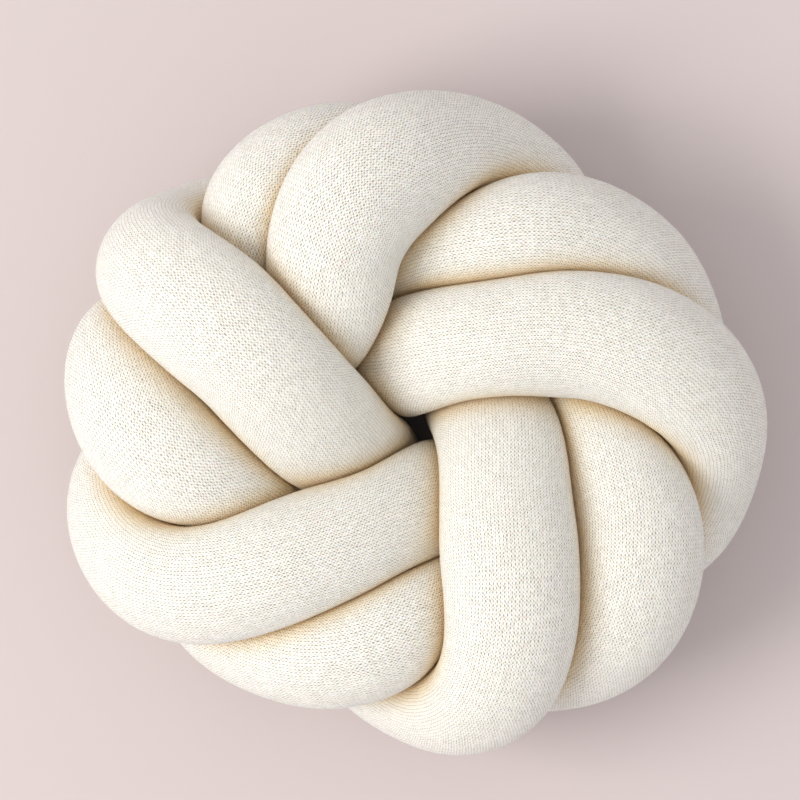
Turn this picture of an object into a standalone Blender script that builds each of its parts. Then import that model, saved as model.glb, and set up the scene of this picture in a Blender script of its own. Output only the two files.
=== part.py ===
"""Knot cushion: one long knitted tube, filled, woven round on itself and closed end to end.

The tube goes four times round a small hole. On its way it crosses the top ten times: five wide
passes sweep from the hole to the rim and lie uppermost, and between them five tucked passes
start further out. Each pass dips at the rim, runs back under the others and comes up again two
places further round. Where two passes meet, both are pressed flat against each other.
"""

import math

import bpy
import numpy as np

# Driving sizes, in metres
TUBE_RADIUS = 0.0285
PASS_GAP = 0.0012  # left between two passes that press on each other
PRESS = 0.78  # distance of two touching middle lines, as a share of the tube's diameter
FOOT_PRESS = 0.80  # height of the lowest middle line over the floor, in tube radii
LOWEST_LINE = -1.25  # lowest the middle line goes under the middle plane, in tube radii
FOOT_FLAT = 0.0006  # what the floor presses flat where the tube rests on it
GIRTH = 1.03  # girth of the filled tube, as a share of a round tube's

# Mesh
STATIONS = 264
SIDES = 20
FINE_STEPS = 5  # points of the fine middle line that press on the rings, for each station
EVENING_ROUNDS = 3  # times that the bends of the fine line are evened out
EVENING_REACH = 3  # fine steps to each side that they are evened over

# Filling of the tube
OWN_STRETCH = 2.6  # length of its own pass that a ring isn't pressed by, in tube radii
BEND_REACH = 0.72  # how near the inner side of a bend comes to its centre
FILL_ROUNDS = 300
PRESSURE = 0.0004  # way that the skin moves outwards each round
PULL_ALONG = 0.12  # share by which each ring follows the two beside it
CENTRING = 0.5
GRAZING = 0.05  # cosine under which a pass is beside a point of the skin and can't stop it

# Each crossing of the top, in the order in which the tube makes them: its kind, the height of its
# head in tube radii over the middle plane, then where its middle line runs, as (x, y) from the
# hole: head, where it comes out from below, rise, crown, rim and tail
PASSES = (
    ("wide", -0.6, (-0.064, 0.042), (-0.047, 0.080), (-0.022, 0.113), (0.008, 0.118), (0.044, 0.100)),
    ("tucked", -0.1, (0.086, -0.002), (0.093, -0.034), (0.092, -0.066), (0.083, -0.085), (0.062, -0.092)),
    ("high", -0.9, (-0.034, -0.011), (-0.059, 0.017), (-0.083, 0.046), (-0.106, 0.067), (-0.084, 0.073)),
    ("tucked", -0.5, (0.000, 0.072), (0.026, 0.084), (0.061, 0.084), (0.087, 0.070), (0.093, 0.050)),
    ("wide", 0.0, (0.009, -0.034), (-0.030, -0.049), (-0.080, -0.061), (-0.122, -0.055), (-0.126, -0.025)),
    ("low", -0.5, (-0.076, 0.058), (-0.077, 0.080), (-0.068, 0.098), (-0.049, 0.106), (-0.029, 0.106)),
    ("wide", -0.1, (0.032, -0.001), (0.035, -0.034), (0.039, -0.077), (0.024, -0.113), (-0.012, -0.101)),
    ("tucked", -0.5, (-0.075, -0.034), (-0.101, -0.017), (-0.118, 0.005), (-0.119, 0.025), (-0.110, 0.037)),
    ("wide", -0.1, (-0.015, 0.034), (0.030, 0.044), (0.080, 0.041), (0.119, 0.009), (0.115, -0.028)),
    ("tucked", -0.5, (0.011, -0.075), (-0.009, -0.084), (-0.035, -0.094), (-0.055, -0.089), (-0.077, -0.075)),
)
# Heights of the four points after the head, and of the way back under, in tube radii
PASS_HEIGHTS = {
    "high": (1.3, 1.5, 0.7, -0.6),
    "wide": (1.0, 1.2, 0.6, -0.6),
    "tucked": (0.5, 0.8, 0.3, -0.5),
    "low": (0.2, 0.4, 0.1, -0.5),
}
UNDER_HEIGHT = {"high": -1.00, "wide": -1.00, "tucked": -1.35, "low": -1.35}
UNDER_POINTS = 4

# Settling of the middle line
SETTLE_ROUNDS = 700
OWN_ARC = 1.15  # stretch in which the tube can't meet itself, in half turns of its own radius
HOLD = 0.25  # share of the way back to its place that a pass takes in the first round
LAST_HOLD = 0.05  # the same in the last round
HEIGHT_HOLD = 0.10  # the same for its height, falling to none
STIFFNESS = 0.40
LENGTH_ROUNDS = 4  # times that the line's length is put right each round
SINK = 0.003  # share of its height that the line loses each round
PUSH = 0.30  # share of the way apart that two passes move when they are too close

COLOUR = (0.83, 0.79, 0.69, 1.0)


def clear_scene():
    for item in list(bpy.data.objects):
        bpy.data.objects.remove(item, do_unlink=True)


def knit_material():
    material = bpy.data.materials.new("cream_jersey_knit")
    material.use_nodes = True
    shader = material.node_tree.nodes["Principled BSDF"]
    shader.inputs["Base Color"].default_value = COLOUR
    shader.inputs["Roughness"].default_value = 0.95
    shader.inputs["Metallic"].default_value = 0.0
    return material


def route_points():
    """The middle line's points in order: over the top, then back under to the next pass.

    Also gives, for each point, whether it lies on a pass across the top.
    """
    points = []
    on_top = []
    for index, (kind, head_height, *places) in enumerate(PASSES):
        following = PASSES[(index + 1) % len(PASSES)][2:]
        for (x, y), height in zip(places, (head_height, *PASS_HEIGHTS[kind])):
            points.append((x, y, height * TUBE_RADIUS))
            on_top.append(True)
        start = np.array(places[-1])
        end = np.array(following[0])
        reach = np.linalg.norm(end - start)
        leave = start - np.array(places[-2])
        arrive = np.array(following[1]) - end
        leave *= reach / np.linalg.norm(leave)
        arrive *= reach / np.linalg.norm(arrive)
        for step in range(1, UNDER_POINTS + 1):
            t = step / (UNDER_POINTS + 1)
            place = (
                (2 * t**3 - 3 * t**2 + 1) * start
                + (t**3 - 2 * t**2 + t) * leave
                + (3 * t**2 - 2 * t**3) * end
                + (t**3 - t**2) * arrive
            )
            points.append((place[0], place[1], UNDER_HEIGHT[kind] * TUBE_RADIUS))
            on_top.append(False)
    return np.array(points), np.array(on_top)


def smooth_line(points, steps):
    """A smooth closed curve through the points, with that many steps from each to the next."""
    before = np.roll(points, 1, axis=0)
    after = np.roll(points, -1, axis=0)
    beyond = np.roll(points, -2, axis=0)
    fine = []
    for t in np.arange(steps) / steps:
        fine.append(
            0.5
            * (
                2 * points
                + (after - before) * t
                + (2 * before - 5 * points + 4 * after - beyond) * t**2
                + (3 * points - before - 3 * after + beyond) * t**3
            )
        )
    return np.stack(fine, axis=1).reshape(-1, 3)


def even_line(points, count):
    """The smooth curve through the points as evenly spaced stations."""
    fine = smooth_line(points, 12)
    closed = np.vstack([fine, fine[:1]])
    travelled = np.r_[0.0, np.cumsum(np.linalg.norm(np.diff(closed, axis=0), axis=1))]
    wanted = np.linspace(0.0, travelled[-1], count, endpoint=False)
    return np.stack([np.interp(wanted, travelled, closed[:, axis]) for axis in range(3)], axis=1)


def steps_apart(count):
    """How many stations apart each two are, the short way round."""
    index = np.arange(count)
    apart = np.abs(index[:, None] - index[None, :])
    return np.minimum(apart, count - apart)


def settle(line, held):
    """Spread the line's passes until they only press on each other."""
    line = line.copy()
    places = line[held]
    spacing = np.mean(np.linalg.norm(np.roll(line, -1, axis=0) - line, axis=1))
    own_stretch = math.ceil(OWN_ARC * math.pi * TUBE_RADIUS / spacing)
    first, second = np.where(np.triu(steps_apart(len(line)) > own_stretch))
    nearest = 2 * TUBE_RADIUS * PRESS
    for done in np.arange(SETTLE_ROUNDS) / SETTLE_ROUNDS:
        bow = 0.5 * (np.roll(line, 1, axis=0) + np.roll(line, -1, axis=0)) - line
        line -= STIFFNESS * (0.5 * (np.roll(bow, 1, axis=0) + np.roll(bow, -1, axis=0)) - bow)
        left = (1 - done) ** 2
        line[held, :2] += (LAST_HOLD + HOLD * left) * (places[:, :2] - line[held, :2])
        line[held, 2] += HEIGHT_HOLD * left * (places[:, 2] - line[held, 2])
        line[:, 2] *= 1 - SINK
        for _ in range(LENGTH_ROUNDS):
            edge = np.roll(line, -1, axis=0) - line
            length = np.linalg.norm(edge, axis=1, keepdims=True)
            pull = 0.25 * (1 - spacing / length) * edge
            line += pull - np.roll(pull, 1, axis=0)
        between = line[first] - line[second]
        distance = np.linalg.norm(between, axis=1)
        close = distance < nearest
        shove = between[close] * (nearest / distance[close] - 1)[:, None]
        moved = np.zeros_like(line)
        touches = np.zeros(len(line))
        np.add.at(moved, first[close], shove)
        np.add.at(moved, second[close], -shove)
        np.add.at(touches, first[close], 1)
        np.add.at(touches, second[close], 1)
        line += PUSH * moved / np.maximum(touches, 1)[:, None]
        line[:, 2] = np.maximum(line[:, 2], LOWEST_LINE * TUBE_RADIUS)
    return line


def even_bends(fine):
    """The fine line with its bends evened out."""
    for _ in range(EVENING_ROUNDS):
        around = np.roll(fine, EVENING_REACH, axis=0) + np.roll(fine, -EVENING_REACH, axis=0)
        fine = 0.5 * fine + 0.25 * around
    return fine


def floor_height(line):
    return line[:, 2].min() - FOOT_PRESS * TUBE_RADIUS


def round_tube(line):
    """A round tube along the line, from a bevelled curve, as a mesh of one ring a station."""
    curve = bpy.data.curves.new("middle_line", "CURVE")
    curve.dimensions = "3D"
    curve.bevel_depth = TUBE_RADIUS
    curve.bevel_resolution = SIDES // 2 - 2
    spline = curve.splines.new("POLY")
    spline.points.add(len(line) - 1)
    for point, (x, y, z) in zip(spline.points, line):
        point.co = (x, y, z, 1.0)
    spline.use_cyclic_u = True
    guide = bpy.data.objects.new("middle_line", curve)
    bpy.context.collection.objects.link(guide)
    evaluated = guide.evaluated_get(bpy.context.evaluated_depsgraph_get())
    mesh = bpy.data.meshes.new_from_object(evaluated)
    bpy.data.objects.remove(guide, do_unlink=True)
    return mesh


def room(fine, outward):
    """How far each side of each ring can reach before it meets the next pass or its own bend."""
    line = fine[::FINE_STEPS]
    spacing = np.mean(np.linalg.norm(np.roll(line, -1, axis=0) - line, axis=1))
    apart = steps_apart(len(fine))[::FINE_STEPS] / FINE_STEPS
    limit = np.full(outward.shape[:2], 2 * TUBE_RADIUS)
    for station, place in enumerate(line):
        others = fine[apart[station] * spacing > OWN_STRETCH * TUBE_RADIUS]
        towards = others - place
        distance = np.linalg.norm(towards, axis=1)
        facing = outward[station] @ (towards / distance[:, None]).T
        half = (distance - PASS_GAP) / 2
        reach = np.where(facing > GRAZING, half / np.maximum(facing, GRAZING), np.inf)
        limit[station] = np.minimum(limit[station], reach.min(axis=1))
    bend = (np.roll(line, 1, axis=0) + np.roll(line, -1, axis=0) - 2 * line) / spacing**2
    inward = np.einsum("sd,skd->sk", bend, outward)
    limit = np.minimum(limit, BEND_REACH / np.maximum(inward, 1.0))
    height = line[:, 2] - floor_height(line)
    return np.minimum(limit, height[:, None] / np.maximum(-outward[:, :, 2], 0.001))


def fill(limit):
    """Each ring's points, blown up inside its limits at a fixed girth.

    The points are given on the ring's own two axes. The skin also pulls along the tube, which
    evens out the dents that the passes press into each other.
    """
    rows, sides = limit.shape
    angle = np.arange(sides) * math.tau / sides
    circle = np.stack([np.cos(angle), np.sin(angle)], axis=1)
    longest = 2 * GIRTH * TUBE_RADIUS * math.sin(math.pi / sides)
    row = np.arange(rows)[:, None]
    places = circle[None] * np.minimum(limit, TUBE_RADIUS)[:, :, None]
    for _ in range(FILL_ROUNDS):
        places += PULL_ALONG * (0.5 * (np.roll(places, 1, axis=0) + np.roll(places, -1, axis=0)) - places)
        chord = np.roll(places, -1, axis=1) - np.roll(places, 1, axis=1)
        outside = np.stack([chord[:, :, 1], -chord[:, :, 0]], axis=2)
        places += PRESSURE * outside / np.linalg.norm(chord, axis=2, keepdims=True)
        for _ in range(3):
            edge = np.roll(places, -1, axis=1) - places
            length = np.linalg.norm(edge, axis=2, keepdims=True)
            pull = 0.5 * np.maximum(0.0, 1 - longest / length) * edge
            places += pull - np.roll(pull, 1, axis=1)
        places -= CENTRING * places.mean(axis=1, keepdims=True)
        distance = np.linalg.norm(places, axis=2)
        side = (np.arctan2(places[:, :, 1], places[:, :, 0]) / math.tau * sides) % sides
        before = side.astype(int) % sides
        share = side - before
        most = (1 - share) * limit[row, before] + share * limit[row, (before + 1) % sides]
        places *= np.minimum(1.0, most / distance)[:, :, None]
    return places


def press(mesh, fine):
    """Fill the round tube out to its neighbours, and set it with its middle on the floor."""
    line = fine[::FINE_STEPS]
    rings = np.array([vertex.co for vertex in mesh.vertices]).reshape(len(line), SIDES, 3)
    outward = (rings - line[:, None, :]) / TUBE_RADIUS
    axes = outward[:, (0, SIDES // 4)]
    rings = line[:, None, :] + np.einsum("ska,sad->skd", fill(room(fine, outward)), axes)
    rings[:, :, 2] = np.maximum(rings[:, :, 2], floor_height(line) + FOOT_FLAT)
    corner = rings.min(axis=(0, 1))
    span = rings.max(axis=(0, 1)) - corner
    rings -= corner + span * (0.5, 0.5, 0.0)
    mesh.vertices.foreach_set("co", rings.astype(np.float32).ravel())
    mesh.update()


def build():
    clear_scene()
    route, on_top = route_points()
    line = even_line(route, STATIONS)
    nearest_point = np.linalg.norm(line[:, None, :] - route[None, :, :], axis=2).argmin(axis=1)
    line = settle(line, np.flatnonzero(on_top[nearest_point]))
    fine = even_bends(smooth_line(line, FINE_STEPS))
    mesh = round_tube(fine[::FINE_STEPS])
    press(mesh, fine)
    mesh.materials.clear()
    mesh.materials.append(knit_material())
    mesh.shade_smooth()
    collection = bpy.data.collections.new("knot_cushion")
    bpy.context.scene.collection.children.link(collection)
    collection.objects.link(bpy.data.objects.new("knotted_tube", mesh))


build()
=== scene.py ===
# %% [markdown]
# # A knot cushion
#
# This cushion is one long tube of cream jersey knit, filled with loose fibre. It is woven round on
# itself, four times round a small hole, and its two ends are sewn to each other out of sight. The
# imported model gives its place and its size. Here the plain solid is replaced by the real thing:
# a fine knitted tube, with the same route, that swells where it is free and flattens where two
# passes press on each other.

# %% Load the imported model
import math

import bmesh
import bpy
import numpy as np
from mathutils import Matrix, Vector


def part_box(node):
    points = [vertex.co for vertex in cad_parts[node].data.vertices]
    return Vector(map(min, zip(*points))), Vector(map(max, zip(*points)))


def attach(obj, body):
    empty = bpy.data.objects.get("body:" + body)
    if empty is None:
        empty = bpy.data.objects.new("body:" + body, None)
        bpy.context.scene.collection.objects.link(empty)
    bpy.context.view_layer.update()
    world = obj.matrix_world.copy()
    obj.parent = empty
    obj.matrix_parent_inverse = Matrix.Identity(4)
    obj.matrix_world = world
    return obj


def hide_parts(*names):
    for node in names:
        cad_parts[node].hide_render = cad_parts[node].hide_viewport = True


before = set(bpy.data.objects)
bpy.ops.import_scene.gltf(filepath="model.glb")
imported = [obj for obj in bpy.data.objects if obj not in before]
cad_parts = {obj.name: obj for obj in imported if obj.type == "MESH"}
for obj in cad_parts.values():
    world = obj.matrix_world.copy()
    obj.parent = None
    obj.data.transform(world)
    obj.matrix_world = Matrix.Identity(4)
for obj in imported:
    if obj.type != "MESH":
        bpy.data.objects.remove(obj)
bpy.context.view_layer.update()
TUBE_NODE = "knotted_tube"
low, high = (np.array(corner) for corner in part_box(TUBE_NODE))
cushion_size = high - low
print("cushion, mm:", np.round(cushion_size * 1000))

# %% [markdown]
# ## Camera
#
# The cushion lies on its back and is seen from straight above. A long lens from far away keeps the
# outline almost free of perspective, so near and far passes keep their true widths. The view's
# width is a little more than the cushion's, and the cushion sits slightly low and to the right.

# %% Set the camera straight above
IMAGE_SIDE = 800  # pixels, like the two values below
CUSHION_WIDTH_IN_IMAGE = 703
CUSHION_CENTRE_IN_IMAGE = (416.5, 423.5)
CAMERA_HEIGHT = 3.0  # metres over the floor
SENSOR_WIDTH = 36.0  # mm
SEE_AS_FAR_AS = 20.0  # metres

metres_per_pixel = cushion_size[0] / CUSHION_WIDTH_IN_IMAGE
view_width = metres_per_pixel * IMAGE_SIDE
camera_data = bpy.data.cameras.new("camera")
camera_data.sensor_width = SENSOR_WIDTH
camera_data.lens = SENSOR_WIDTH * (CAMERA_HEIGHT - cushion_size[2] / 2) / view_width
camera_data.clip_end = SEE_AS_FAR_AS
camera = bpy.data.objects.new("camera", camera_data)
camera.location = (
    (IMAGE_SIDE / 2 - CUSHION_CENTRE_IN_IMAGE[0]) * metres_per_pixel,
    (CUSHION_CENTRE_IN_IMAGE[1] - IMAGE_SIDE / 2) * metres_per_pixel,
    CAMERA_HEIGHT,
)
bpy.context.scene.collection.objects.link(camera)
bpy.context.scene.camera = camera
print("lens, mm:", round(camera_data.lens), "view width, mm:", round(view_width * 1000))

# %% [markdown]
# ## The route of the tube
#
# A knot like this could be drawn as a curve by eye, but then its passes would cut through each
# other. Instead each of the ten passes over the top is given by five places, and a short
# simulation does the rest: it pushes apart what is too close, keeps the tube's length, resists
# bending, and lets the passes sink onto each other. The result is a middle line that a stuffed
# tube could really take.

# %% Sizes of the tube and its passes, in metres
TUBE_RADIUS = 0.0285
PASS_GAP = 0.0005  # left between two passes that press on each other
PRESS = 0.78  # distance of two touching middle lines, as a share of the tube's diameter
FOOT_PRESS = 0.80  # height of the lowest middle line over the floor, in tube radii
LOWEST_LINE = -1.25  # lowest the middle line goes under the middle plane, in tube radii
FOOT_FLAT = 0.0006  # what the floor presses flat where the tube rests on it

# Each crossing of the top: its kind, the height of its head in tube radii over the middle plane,
# then where its middle line runs, as (x, y): head, rise, crown, rim and tail
PASSES = (
    ("wide", -0.6, (-0.064, 0.042), (-0.047, 0.080), (-0.022, 0.113), (0.008, 0.118), (0.044, 0.100)),
    ("tucked", -0.1, (0.086, -0.002), (0.093, -0.034), (0.092, -0.066), (0.083, -0.085), (0.062, -0.092)),
    ("high", -0.9, (-0.034, -0.011), (-0.059, 0.017), (-0.083, 0.046), (-0.106, 0.067), (-0.084, 0.073)),
    ("tucked", -0.5, (0.000, 0.072), (0.026, 0.084), (0.061, 0.084), (0.087, 0.070), (0.093, 0.050)),
    ("wide", 0.0, (0.009, -0.034), (-0.030, -0.049), (-0.080, -0.061), (-0.122, -0.055), (-0.126, -0.025)),
    ("low", -0.5, (-0.076, 0.058), (-0.077, 0.080), (-0.068, 0.098), (-0.049, 0.106), (-0.029, 0.106)),
    ("wide", -0.1, (0.032, -0.001), (0.035, -0.034), (0.039, -0.077), (0.024, -0.113), (-0.012, -0.101)),
    ("tucked", -0.5, (-0.075, -0.034), (-0.101, -0.017), (-0.118, 0.005), (-0.119, 0.025), (-0.110, 0.037)),
    ("wide", -0.1, (-0.015, 0.034), (0.030, 0.044), (0.080, 0.041), (0.119, 0.009), (0.115, -0.028)),
    ("tucked", -0.5, (0.011, -0.075), (-0.009, -0.084), (-0.035, -0.094), (-0.055, -0.089), (-0.077, -0.075)),
)
# Heights of the four points after the head, and of the way back under, in tube radii
PASS_HEIGHTS = {
    "high": (1.3, 1.5, 0.7, -0.6),
    "wide": (1.0, 1.2, 0.6, -0.6),
    "tucked": (0.5, 0.8, 0.3, -0.5),
    "low": (0.2, 0.4, 0.1, -0.5),
}
UNDER_HEIGHT = {"high": -1.00, "wide": -1.00, "tucked": -1.35, "low": -1.35}
UNDER_POINTS = 4  # points of each way back
print("passes over the top:", len(PASSES))


# %% Join the passes into one closed route
def route_points():
    """The route's points in order, and whether each lies on a pass across the top."""
    points = []
    on_top = []
    for index, (kind, head_height, *places) in enumerate(PASSES):
        following = PASSES[(index + 1) % len(PASSES)][2:]
        for (x, y), height in zip(places, (head_height, *PASS_HEIGHTS[kind])):
            points.append((x, y, height * TUBE_RADIUS))
            on_top.append(True)
        start = np.array(places[-1])
        end = np.array(following[0])
        reach = np.linalg.norm(end - start)
        leave = start - np.array(places[-2])
        arrive = np.array(following[1]) - end
        leave *= reach / np.linalg.norm(leave)
        arrive *= reach / np.linalg.norm(arrive)
        for step in range(1, UNDER_POINTS + 1):
            t = step / (UNDER_POINTS + 1)
            place = (
                (2 * t**3 - 3 * t**2 + 1) * start
                + (t**3 - 2 * t**2 + t) * leave
                + (3 * t**2 - 2 * t**3) * end
                + (t**3 - t**2) * arrive
            )
            points.append((place[0], place[1], UNDER_HEIGHT[kind] * TUBE_RADIUS))
            on_top.append(False)
    return np.array(points), np.array(on_top)


route, on_top = route_points()
print("route points:", len(route), "of which over the top:", int(on_top.sum()))

# %% Draw an even line through the route
STATIONS = 264
STEPS_TO_MEASURE = 12  # steps from each point to the next in which the curve's length is measured


def smooth_line(points, steps):
    """A smooth closed curve through the points, with that many steps from each to the next."""
    before = np.roll(points, 1, axis=0)
    after = np.roll(points, -1, axis=0)
    beyond = np.roll(points, -2, axis=0)
    fine = []
    for t in np.arange(steps) / steps:
        fine.append(
            0.5
            * (
                2 * points
                + (after - before) * t
                + (2 * before - 5 * points + 4 * after - beyond) * t**2
                + (3 * points - before - 3 * after + beyond) * t**3
            )
        )
    return np.stack(fine, axis=1).reshape(-1, 3)


def even_line(points, count):
    """The smooth curve through the points as evenly spaced stations."""
    fine = smooth_line(points, STEPS_TO_MEASURE)
    closed = np.vstack([fine, fine[:1]])
    travelled = np.r_[0.0, np.cumsum(np.linalg.norm(np.diff(closed, axis=0), axis=1))]
    wanted = np.linspace(0.0, travelled[-1], count, endpoint=False)
    return np.stack([np.interp(wanted, travelled, closed[:, axis]) for axis in range(3)], axis=1)


line = even_line(route, STATIONS)
nearest_point = np.linalg.norm(line[:, None, :] - route[None, :, :], axis=2).argmin(axis=1)
held = np.flatnonzero(on_top[nearest_point])
print("stations:", len(line), "of which held in their places over the top:", len(held))

# %% [markdown]
# ## Settling the knot
#
# Where the real knot is woven, the passes shove each other aside until each just presses on the
# next. Here the middle line is a chain of stations, and a few hundred short rounds do the same:
# bends are eased, each pass is drawn back towards its place, the steps between stations get their
# length back, and stations that are too close move apart. A physics engine could do this too, but
# a loop over arrays takes seconds and always gives the same knot.

# %% Let the passes settle on each other
SETTLE_ROUNDS = 700
OWN_ARC = 1.15  # stretch in which the tube can't meet itself, in half turns of its own radius
HOLD = 0.25  # share of the way back to its place that a pass takes each round, falling to none
LAST_HOLD = 0.05  # a share that is added to it and stays to the last round
HEIGHT_HOLD = 0.10  # share of the way back to its height, falling to none
STIFFNESS = 0.40  # share of each change of bend that is evened out each round
LENGTH_ROUNDS = 4  # times that the line's length is put right each round
LENGTH_PULL = 0.25  # share of a step's wrong length that each of its ends takes up
SINK = 0.003  # share of its height that the line loses each round
PUSH = 0.30  # share of the way apart that two passes move when they are too close


def steps_apart(count):
    """How many stations apart each two are, the short way round."""
    index = np.arange(count)
    apart = np.abs(index[:, None] - index[None, :])
    return np.minimum(apart, count - apart)


def settle(line, held):
    """Spread the line's passes until they only press on each other."""
    line = line.copy()
    places = line[held]
    spacing = np.mean(np.linalg.norm(np.roll(line, -1, axis=0) - line, axis=1))
    own_stretch = math.ceil(OWN_ARC * math.pi * TUBE_RADIUS / spacing)
    first, second = np.where(np.triu(steps_apart(len(line)) > own_stretch))
    nearest = 2 * TUBE_RADIUS * PRESS
    for done in np.arange(SETTLE_ROUNDS) / SETTLE_ROUNDS:
        bow = 0.5 * (np.roll(line, 1, axis=0) + np.roll(line, -1, axis=0)) - line
        line -= STIFFNESS * (0.5 * (np.roll(bow, 1, axis=0) + np.roll(bow, -1, axis=0)) - bow)
        left = (1 - done) ** 2
        line[held, :2] += (LAST_HOLD + HOLD * left) * (places[:, :2] - line[held, :2])
        line[held, 2] += HEIGHT_HOLD * left * (places[:, 2] - line[held, 2])
        line[:, 2] *= 1 - SINK
        for _ in range(LENGTH_ROUNDS):
            edge = np.roll(line, -1, axis=0) - line
            length = np.linalg.norm(edge, axis=1, keepdims=True)
            pull = LENGTH_PULL * (1 - spacing / length) * edge
            line += pull - np.roll(pull, 1, axis=0)
        between = line[first] - line[second]
        distance = np.linalg.norm(between, axis=1)
        close = distance < nearest
        shove = between[close] * (nearest / distance[close] - 1)[:, None]
        moved = np.zeros_like(line)
        touches = np.zeros(len(line))
        np.add.at(moved, first[close], shove)
        np.add.at(moved, second[close], -shove)
        np.add.at(touches, first[close], 1)
        np.add.at(touches, second[close], 1)
        line += PUSH * moved / np.maximum(touches, 1)[:, None]
        line[:, 2] = np.maximum(line[:, 2], LOWEST_LINE * TUBE_RADIUS)
    return line


line = settle(line, held)
tube_length = np.linalg.norm(np.roll(line, -1, axis=0) - line, axis=1).sum()
print("length of the tube, m:", round(tube_length, 2))

# %% [markdown]
# ## The skin of the tube
#
# The skin is a row of rings along the middle line, each square to it. A curve with a bevel would
# give such a tube at once, but all round and with its passes cutting into each other. So the rings
# are made here, and every point of a ring may reach out only as far as the plane half way to the
# next pass. Two passes that press on each other then get flat faces with a fine slit between them.

# %% Rings without twist
RINGS_PER_STATION = 5
SIDES = 64
EVENING_ROUNDS = 3  # times that the bends of the fine line are evened out
EVENING_REACH = 3  # rings to each side that they are evened over


def ring_axes(line):
    """Two directions across the tube for each station, carried along the line without twist."""
    tangent = np.roll(line, -1, axis=0) - np.roll(line, 1, axis=0)
    tangent /= np.linalg.norm(tangent, axis=1, keepdims=True)
    first = np.zeros_like(line)
    current = np.cross(tangent[0], (0.0, 0.0, 1.0))
    for station, along in enumerate(tangent):
        current = current - np.dot(current, along) * along
        current /= np.linalg.norm(current)
        first[station] = current
    second = np.cross(tangent, first)
    last = first[-1] - np.dot(first[-1], tangent[0]) * tangent[0]
    twist = math.atan2(np.dot(last, second[0]), np.dot(last, first[0]))
    turn = -twist * np.arange(len(line))[:, None] / len(line)
    return (
        np.cos(turn) * first + np.sin(turn) * second,
        np.cos(turn) * second - np.sin(turn) * first,
    )


fine_line = smooth_line(line, RINGS_PER_STATION)
for _ in range(EVENING_ROUNDS):
    around = np.roll(fine_line, EVENING_REACH, axis=0) + np.roll(fine_line, -EVENING_REACH, axis=0)
    fine_line = 0.5 * fine_line + 0.25 * around
first_axis, second_axis = ring_axes(fine_line)
side_angle = np.arange(SIDES) * math.tau / SIDES
circle = np.stack([np.cos(side_angle), np.sin(side_angle)], axis=1)
print("rings:", len(fine_line), "of", SIDES, "sides")


# %% Room for each point of the skin
OWN_STRETCH = 2.6  # length of its own pass that a ring isn't pressed by, in tube radii
BEND_REACH = 0.72  # how near the inner side of a bend comes to its centre
FAR_OFF = 4.0  # distance at which another pass can't press on a ring, in tube radii
GRAZING = 0.05  # cosine under which a pass is beside a point of the skin and can't stop it
LEVEL = 0.001  # least downward slope of a direction that the floor can stop


def room(line, outward):
    """How far each side of each ring can reach before it meets the next pass or its own bend."""
    spacing = np.mean(np.linalg.norm(np.roll(line, -1, axis=0) - line, axis=1))
    apart = steps_apart(len(line)) * spacing
    limit = np.full(outward.shape[:2], 2 * TUBE_RADIUS)
    for station, place in enumerate(line):
        others = line[apart[station] > OWN_STRETCH * TUBE_RADIUS]
        towards = others - place
        distance = np.linalg.norm(towards, axis=1)
        near = distance < FAR_OFF * TUBE_RADIUS
        towards = towards[near] / distance[near, None]
        facing = outward[station] @ towards.T
        half = (distance[near] - PASS_GAP) / 2
        reach = np.where(facing > GRAZING, half / np.maximum(facing, GRAZING), np.inf)
        limit[station] = np.minimum(limit[station], reach.min(axis=1))
    step = RINGS_PER_STATION
    bend = np.roll(line, step, axis=0) + np.roll(line, -step, axis=0) - 2 * line
    bend /= (step * spacing) ** 2
    inward = np.einsum("sd,skd->sk", bend, outward)
    return np.minimum(limit, BEND_REACH / np.maximum(inward, 1.0))


outward = np.einsum("ka,sad->skd", circle, np.stack([first_axis, second_axis], axis=1))
pass_limit = room(fine_line, outward)
floor_height = fine_line[:, 2].min() - FOOT_PRESS * TUBE_RADIUS
drop = np.maximum(-outward[:, :, 2], LEVEL)
limit = np.minimum(pass_limit, (fine_line[:, None, 2] - floor_height) / drop)
print("share of the skin that is pressed:", round(float(np.mean(limit < TUBE_RADIUS)), 2))

# %% [markdown]
# ## Filling the tube
#
# A stuffed tube keeps its girth, because knit hardly stretches once it is full. So what a ring
# loses where it is pressed it wins back by swelling where it is free. Each round the filling blows
# every ring outwards a little, the knit pulls it back to its girth and evens it with the rings
# beside it, and nothing gets past its limits. A little more filling here and less there keeps the
# tube from looking turned on a lathe.

# %% Look up the room of a point between two sides
def furthest(places, limit):
    """How far out each point may lie in its own direction, between the limits of two sides."""
    rows, sides = limit.shape
    row = np.arange(rows)[:, None]
    side = (np.arctan2(places[:, :, 1], places[:, :, 0]) / math.tau * sides) % sides
    before = side.astype(int) % sides
    share = side - before
    return (1 - share) * limit[row, before] + share * limit[row, (before + 1) % sides]


# %% Fill the tube
FILL_ROUNDS = 400
GIRTH_ROUNDS = 3  # times that each ring's girth is put right each round
GIRTH_PULL = 0.5  # share of a side's extra length that each of its ends takes up
PRESSURE = 0.00005  # way that the skin moves outwards each round
PULL_ALONG = 0.5  # share by which each ring follows the two beside it
CENTRING = 0.5  # share of its way off the middle line that a ring goes back each round
GIRTH = 1.03  # girth of the filled tube, as a share of a round tube's
UNEVEN_FILL = 0.006  # share by which each wave of the uneven filling changes the girth
FILL_WAVES = ((37, 0.4), (61, 2.1), (97, 4.6))  # waves in the whole tube, and where each starts


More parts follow.
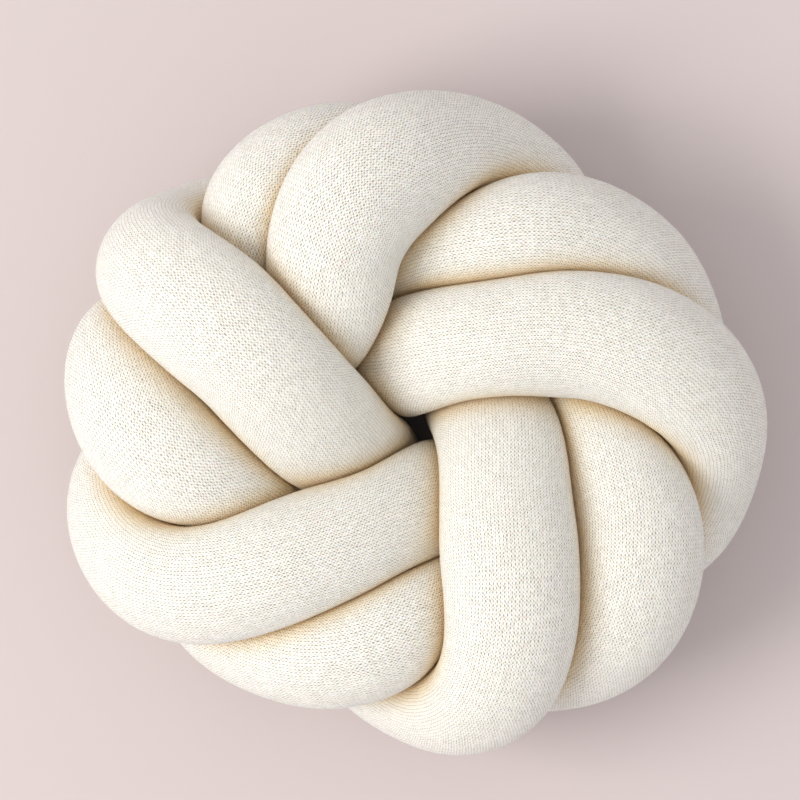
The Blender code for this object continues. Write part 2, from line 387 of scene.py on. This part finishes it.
def fill(limit):
    """Blow each ring up inside its limits, at a fixed girth and with tension along the tube."""
    rows, sides = limit.shape
    along = math.tau * np.arange(rows)[:, None, None] / rows
    swell = sum(np.sin(waves * along + start) for waves, start in FILL_WAVES)
    longest = 2 * GIRTH * TUBE_RADIUS * math.sin(math.pi / sides) * (1 + UNEVEN_FILL * swell)
    places = circle[None] * np.minimum(limit, TUBE_RADIUS)[:, :, None]
    for _ in range(FILL_ROUNDS):
        beside = 0.5 * (np.roll(places, 1, axis=0) + np.roll(places, -1, axis=0))
        places += PULL_ALONG * (beside - places)
        chord = np.roll(places, -1, axis=1) - np.roll(places, 1, axis=1)
        outside = np.stack([chord[:, :, 1], -chord[:, :, 0]], axis=2)
        places += PRESSURE * outside / np.linalg.norm(chord, axis=2, keepdims=True)
        for _ in range(GIRTH_ROUNDS):
            edge = np.roll(places, -1, axis=1) - places
            length = np.linalg.norm(edge, axis=2, keepdims=True)
            pull = GIRTH_PULL * np.maximum(0.0, 1 - longest / length) * edge
            places += pull - np.roll(pull, 1, axis=1)
        places -= CENTRING * places.mean(axis=1, keepdims=True)
        distance = np.linalg.norm(places, axis=2)
        places *= np.minimum(1.0, furthest(places, limit) / distance)[:, :, None]
    return places


section = fill(limit)
free = np.maximum(0.0, furthest(section, pass_limit) - np.linalg.norm(section, axis=2))
rings = (
    fine_line[:, None, :]
    + section[:, :, :1] * first_axis[:, None, :]
    + section[:, :, 1:] * second_axis[:, None, :]
)
rings[:, :, 2] = np.maximum(rings[:, :, 2], floor_height + FOOT_FLAT)
corner = rings.min(axis=(0, 1))
span = rings.max(axis=(0, 1)) - corner
rings -= corner + span * (0.5, 0.5, 0.0)  # centred, and standing on the floor
print("skin, mm:", np.round(span * 1000, 1))

# %% [markdown]
# ## Knitting the skin
#
# A knitting machine would make the tube course by course, and a bmesh could extrude it ring by
# ring in the same way. It is much quicker to start from one flat sheet of knit, a grid with a
# column for each side and a row for each ring. The sheet is laid over the rings, and its edges
# are then sewn to each other by merging them. The flat sheet also gives every face its place in
# the knit, as a UV map: how far round the tube it is, and how far along. Another value goes with
# each point: how deep it lies in the crease between two passes, where less light comes in.

# %% Wrap a knitted sheet round the rings
KNIT_MAP = "knit"
# How deep each point lies in a crease, which sets the painted warm shade there
CREASE = "crease"
CREASE_REACH = 0.0035  # metres from the next pass at which a crease has mostly faded
SEAM_WIDTH = 1e-5  # metres, under which two edges of the sheet count as one
HALF_SHEET = 0.5  # half a side of the flat sheet, whose width and length are 1 in the knit's map


def knitted_skin(name, rings, crease):
    """A closed tube through the rings, with a map of its place in the knit and in the creases."""
    rows, sides = rings.shape[:2]
    bm = bmesh.new()
    bmesh.ops.create_grid(bm, x_segments=sides, y_segments=rows, size=HALF_SHEET)
    knit = bm.loops.layers.uv.new(KNIT_MAP)
    depth = bm.verts.layers.float.new(CREASE)
    for face in bm.faces:
        face.smooth = True
        for loop in face.loops:
            loop[knit].uv = loop.vert.co.xy + Vector((HALF_SHEET, HALF_SHEET))
    for vert in bm.verts:
        side = round((vert.co.x + HALF_SHEET) * sides) % sides
        row = round((vert.co.y + HALF_SHEET) * rows) % rows
        vert.co = rings[row, side]
        vert[depth] = crease[row, side]
    bmesh.ops.remove_doubles(bm, verts=bm.verts, dist=SEAM_WIDTH)
    bmesh.ops.recalc_face_normals(bm, faces=bm.faces)
    mesh = bpy.data.meshes.new(name)
    bm.to_mesh(mesh)
    bm.free()
    piece = bpy.data.objects.new(name, mesh)
    bpy.context.scene.collection.objects.link(piece)
    return piece


cushion = knitted_skin("knitted_cushion", rings, np.exp(-free / CREASE_REACH))
print("faces:", len(cushion.data.polygons))

# %% [markdown]
# ## Jersey knit
#
# Jersey is knitted from a soft cotton yarn. Its face shows columns of small V stitches, called
# wales, that run along the tube, and rows of them, called courses, that run round it. They could
# be modelled loop by loop, but there are hundreds of thousands of them, so the pattern is worked
# out in the material, from the place in the knit. The wales are 1.4 mm apart and the courses
# about 1 mm. The yarn's two legs in each V stand proud, and the gaps between them are darker
# with painted shade: one hole for each stitch beside the column, and a notch between the legs
# half a stitch on.

# %% Small helpers for materials
def linear(hex_colour):
    """An sRGB hex colour as linear RGBA."""
    shares = [int(hex_colour[start : start + 2], 16) / 255 for start in (1, 3, 5)]
    rgb = (share / 12.92 if share <= 0.04045 else ((share + 0.055) / 1.055) ** 2.4 for share in shares)
    return (*rgb, 1.0)


def add_node(tree, kind, links=(), **settings):
    """A node with its settings, whose inputs are fed by sockets or set to values."""
    node = tree.nodes.new(kind)
    for key, value in settings.items():
        setattr(node, key, value)
    for key, value in dict(links).items():
        if isinstance(value, bpy.types.NodeSocket):
            tree.links.new(value, node.inputs[key])
        else:
            node.inputs[key].default_value = value
    return node


def plain_material(name, finish):
    """A material whose finish is the same all over, set on the shader's own sockets."""
    material = bpy.data.materials.new(name)
    material.use_nodes = True
    shader = material.node_tree.nodes["Principled BSDF"]
    for socket, value in finish.items():
        shader.inputs[socket].default_value = value
    return material


def work_out(tree, values, steps):
    """Add a Math node for each step, and keep its result among the values by the step's name."""
    for name, operation, inputs, kept in steps:
        fed = enumerate(values.get(value, value) for value in inputs)
        step = add_node(tree, "ShaderNodeMath", fed, operation=operation, use_clamp=kept)
        values[name] = step.outputs[0]


# %% How large a stitch is
# Real gaps between stitches are too fine to show in a normal view, where a stitch is only three
# pixels wide, so they are drawn wider and with darker painted shade, and the stitches a little
# larger, than they are
WALE_PITCH = 0.0015
COURSE_PITCH = 0.0013
LEG_SLANT = 1.6  # courses that a leg of the V climbs across a whole wale
STRAY = 0.9  # most that an uneven loop strays from its place, in stitches
STRAY_SCALE = 420.0  # about a stray every 2.4 mm
STRAY_DETAIL = 3.0  # finer strays within that
wales = round(GIRTH * math.tau * TUBE_RADIUS / WALE_PITCH)
courses = round(tube_length / COURSE_PITCH)
print("wales round the tube:", wales, "courses along it:", courses)

# %% How each place in a stitch is worked out
# A slope and a start for what changes with the way from the column's middle, in wales
BESIDE_COLUMN = (4.0, -1.0)
MIDDLE_OF_COLUMN = (-5.0, 1.0)
# The same for what changes with the swing of each course or leg, which goes from -1 to 1
HOLE_DEPTH = (0.7, 0.6)
NOTCH_DEPTH = (-0.7, 0.1)
LEG_GROOVE = (0.06, 0.06)

# Each step's name, its operation, what goes into it, and whether it is kept between 0 and 1
STITCH_STEPS = (
    # The wale and the course that a place is in, with each loop a little astray
    ("even wale", "MULTIPLY", ("around", wales), False),
    ("wale", "MULTIPLY_ADD", ("stray around", STRAY, "even wale"), False),
    ("even course", "MULTIPLY", ("along", courses), False),
    ("course", "MULTIPLY_ADD", ("stray along", STRAY, "even course"), False),
    ("in wale", "FRACT", ("wale",), False),
    ("off middle", "SUBTRACT", ("in wale", 0.5), False),
    ("from middle", "ABSOLUTE", ("off middle",), False),
    # Beside the column, and in the middle of it
    ("beside column", "MULTIPLY_ADD", ("from middle", *BESIDE_COLUMN), True),
    ("middle of column", "MULTIPLY_ADD", ("from middle", *MIDDLE_OF_COLUMN), True),
    # A hole and a notch in each course, half a stitch from each other
    ("course turn", "MULTIPLY", ("course", math.tau), False),
    ("course swing", "COSINE", ("course turn",), False),
    ("hole depth", "MULTIPLY_ADD", ("course swing", *HOLE_DEPTH), True),
    ("hole", "MULTIPLY", ("beside column", "hole depth"), False),
    ("notch depth", "MULTIPLY_ADD", ("course swing", *NOTCH_DEPTH), True),
    ("notch", "MULTIPLY", ("middle of column", "notch depth"), False),
    ("hole or notch", "ADD", ("hole", "notch"), False),
    # A slight groove between one slanting leg and the next
    ("leg", "MULTIPLY_ADD", ("from middle", -LEG_SLANT, "course"), False),
    ("leg turn", "MULTIPLY", ("leg", math.tau), False),
    ("leg swing", "COSINE", ("leg turn",), False),
    ("between legs", "MULTIPLY_ADD", ("leg swing", *LEG_GROOVE), False),
    ("even gap", "ADD", ("hole or notch", "between legs"), True),
    # The stitch's own two numbers
    ("wale number", "FLOOR", ("wale",), False),
    ("course number", "FLOOR", ("course",), False),
)


def stitches(tree):
    """What the steps give: how deep each place is in a gap, and which stitch it belongs to."""
    knit_place = add_node(tree, "ShaderNodeUVMap", uv_map=KNIT_MAP).outputs["UV"]
    place = add_node(tree, "ShaderNodeSeparateXYZ", {"Vector": knit_place})
    spot = add_node(tree, "ShaderNodeTexCoord").outputs["Object"]
    waves = {"Vector": spot, "Scale": STRAY_SCALE, "Detail": STRAY_DETAIL}
    wander = add_node(tree, "ShaderNodeTexNoise", waves)
    stray = add_node(tree, "ShaderNodeSeparateXYZ", {"Vector": wander.outputs["Color"]})
    values = {
        "around": place.outputs["X"],
        "along": place.outputs["Y"],
        "stray around": stray.outputs["X"],
        "stray along": stray.outputs["Y"],
    }
    work_out(tree, values, STITCH_STEPS)
    return values


print("steps to a stitch:", len(STITCH_STEPS))

# %% [markdown]
# ## The cotton yarn
#
# Cotton jersey is matt and softly hairy: it has no gloss, only a faint sheen, and some light goes
# through its loose loops, which keeps its shades soft. The yarn is undyed, so it is cream, and
# no two stitches have quite the same tone. Deep in a crease the light has touched the yarn many
# times before it comes out, which makes it warmer there; that warm shade is painted into the
# yarn's colour.

# %% The cotton yarn
PALE_YARN = "#FFFDF6"
DEEP_YARN = "#E8E3D6"
# Painted warm shade, laid over the yarn deep in a crease
WARM_CREASE_SHADE = "#F8D79B"
# Painted shade deep in the gaps between stitches
GAP_SHADE_COLOUR = "#706A5E"
TONE_SPREAD = 0.18  # how far the deepest stitch is from pale to deep yarn
LEAST_GAP = 0.8  # depth of the shallowest stitch's gaps
GAP_SPREAD = 0.4  # how much deeper the deepest stitch's gaps are
CREASE_SHADE_STRENGTH = 0.9  # how far the deepest crease is from the yarn to its painted warm shade
GAP_SHADE = 0.8  # how far the deepest gap is from the yarn to the painted shade of the gaps
LOOP_HEIGHT = 0.00045  # metres that a loop stands proud of the gap beside it
JERSEY_FINISH = {
    "Roughness": 0.95,
    "Sheen Weight": 0.25,
    "Sheen Roughness": 0.6,
    "Subsurface Weight": 0.45,
    "Subsurface Radius": (1.0, 0.8, 0.6),
    "Subsurface Scale": 0.012,
}
print("depth of a stitch's gaps:", LEAST_GAP, "to", round(LEAST_GAP + GAP_SPREAD, 2))

# %% Knit the yarn into jersey
# In the form of the stitches' steps: what each stitch has of its own, with its painted gap shade,
# then the painted warm shade that a crease adds
YARN_STEPS = (
    ("tone", "MULTIPLY", ("chance", TONE_SPREAD), False),
    ("gap depth", "MULTIPLY_ADD", ("chance", GAP_SPREAD, LEAST_GAP), False),
    ("gap", "MULTIPLY", ("even gap", "gap depth"), False),
    ("shade", "MULTIPLY", ("gap", GAP_SHADE), False),
    ("proud", "SUBTRACT", (1.0, "gap"), False),
    ("crease shade", "MULTIPLY", ("crease", CREASE_SHADE_STRENGTH), False),
)
# Each colour that is laid over the pale yarn, by the step that says how much of it shows: a tone
# of its own, painted warm shade in a crease and painted shade in the gaps
COLOUR_LAYERS = (("tone", DEEP_YARN), ("crease shade", WARM_CREASE_SHADE), ("shade", GAP_SHADE_COLOUR))


def jersey_knit():
    """Cream cotton jersey: matt and softly hairy, with painted warm shade where two passes press together."""
    material = plain_material("cream_cotton_jersey", JERSEY_FINISH)
    tree = material.node_tree
    shader = tree.nodes["Principled BSDF"]
    knit = stitches(tree)
    place = {"X": knit["wale number"], "Y": knit["course number"]}
    number = add_node(tree, "ShaderNodeCombineXYZ", place).outputs[0]
    knit["chance"] = add_node(tree, "ShaderNodeTexWhiteNoise", {"Vector": number}).outputs["Value"]
    # How deep the place lies in a crease, for the painted warm shade there
    knit["crease"] = add_node(tree, "ShaderNodeAttribute", attribute_name=CREASE).outputs["Fac"]
    work_out(tree, knit, YARN_STEPS)
    colour = linear(PALE_YARN)
    for share, over in COLOUR_LAYERS:
        layers = {"Factor": knit[share], "A": colour, "B": linear(over)}
        colour = add_node(tree, "ShaderNodeMix", layers, data_type="RGBA").outputs["Result"]
    tree.links.new(colour, shader.inputs["Base Color"])
    relief = {"Height": knit["proud"], "Strength": 1.0, "Distance": LOOP_HEIGHT}
    bump = add_node(tree, "ShaderNodeBump", relief)
    tree.links.new(bump.outputs["Normal"], shader.inputs["Normal"])
    return material


cushion.data.materials.append(jersey_knit())
print("finish:", cushion.data.materials[0].name)

# %% [markdown]
# ## Standing in for the plain tube
#
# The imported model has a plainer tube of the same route, which stays for collisions. The knitted
# cushion hides it and stands for it. It is one padded piece that nothing moves, so it rides on the
# part's only body.

# %% Hand the cushion over to the frame
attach(cushion, "root")
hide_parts(TUBE_NODE)
print("the cushion stands for:", TUBE_NODE)

# %% [markdown]
# ## Floor and light
#
# The cushion lies on painted plaster: pale, matt and even. It is one flat face, much wider than
# the view, so that no edge of it ever shows. The light is soft studio light: one big key light from
# the left and a little from the front, low enough to model the passes, and an even light from all
# round that fills the creases. A small hard light would draw sharper shadows than the knit needs.

# %% Floor
FLOOR_HALF_SIDE = 3.0  # metres
FLOOR_DROP = 0.0005  # keeps the floor just clear of the flattened foot
PLASTER_FINISH = {"Base Color": linear("#CCC1C1"), "Roughness": 0.9}


def plain_floor():
    """One flat face of painted plaster under the cushion."""
    mesh = bpy.data.meshes.new("floor")
    bm = bmesh.new()
    bmesh.ops.create_grid(bm, x_segments=1, y_segments=1, size=FLOOR_HALF_SIDE)
    bm.to_mesh(mesh)
    bm.free()
    floor = bpy.data.objects.new("floor", mesh)
    floor.location.z = -FLOOR_DROP
    bpy.context.scene.collection.objects.link(floor)
    mesh.materials.append(plain_material("pale_plaster", PLASTER_FINISH))
    return floor


plain_floor()
print("floor, m:", 2 * FLOOR_HALF_SIDE)

# %% Lights
KEY_PLACE = (-2.3, -0.4, 2.5)  # metres, like its side
KEY_SIDE = 1.8
KEY_POWER = 80.0  # watts
KEY_COLOUR = "#FFFCF6"
ROOM_COLOUR = "#F6F4F4"
ROOM_STRENGTH = 0.87


def soft_light(name, place, side, power, colour):
    """A square soft light at a place, aimed at the cushion."""
    data = bpy.data.lights.new(name, "AREA")
    data.size = side
    data.energy = power
    data.color = linear(colour)[:3]
    light = bpy.data.objects.new(name, data)
    light.location = place
    aim = -np.array(place) / np.linalg.norm(place)
    yaw = math.atan2(aim[1], aim[0])
    tilt = math.acos(-aim[2])
    light.rotation_euler = (tilt, 0.0, yaw - math.pi / 2)
    bpy.context.scene.collection.objects.link(light)
    return light


soft_light("key", KEY_PLACE, KEY_SIDE, KEY_POWER, KEY_COLOUR)
bpy.context.scene.view_settings.view_transform = "Standard"
world = bpy.data.worlds.new("studio")
bpy.context.scene.world = world
world.use_nodes = True
background = world.node_tree.nodes["Background"]
background.inputs["Color"].default_value = linear(ROOM_COLOUR)
background.inputs["Strength"].default_value = ROOM_STRENGTH
print("key light, W:", KEY_POWER, "light of the room:", ROOM_STRENGTH)
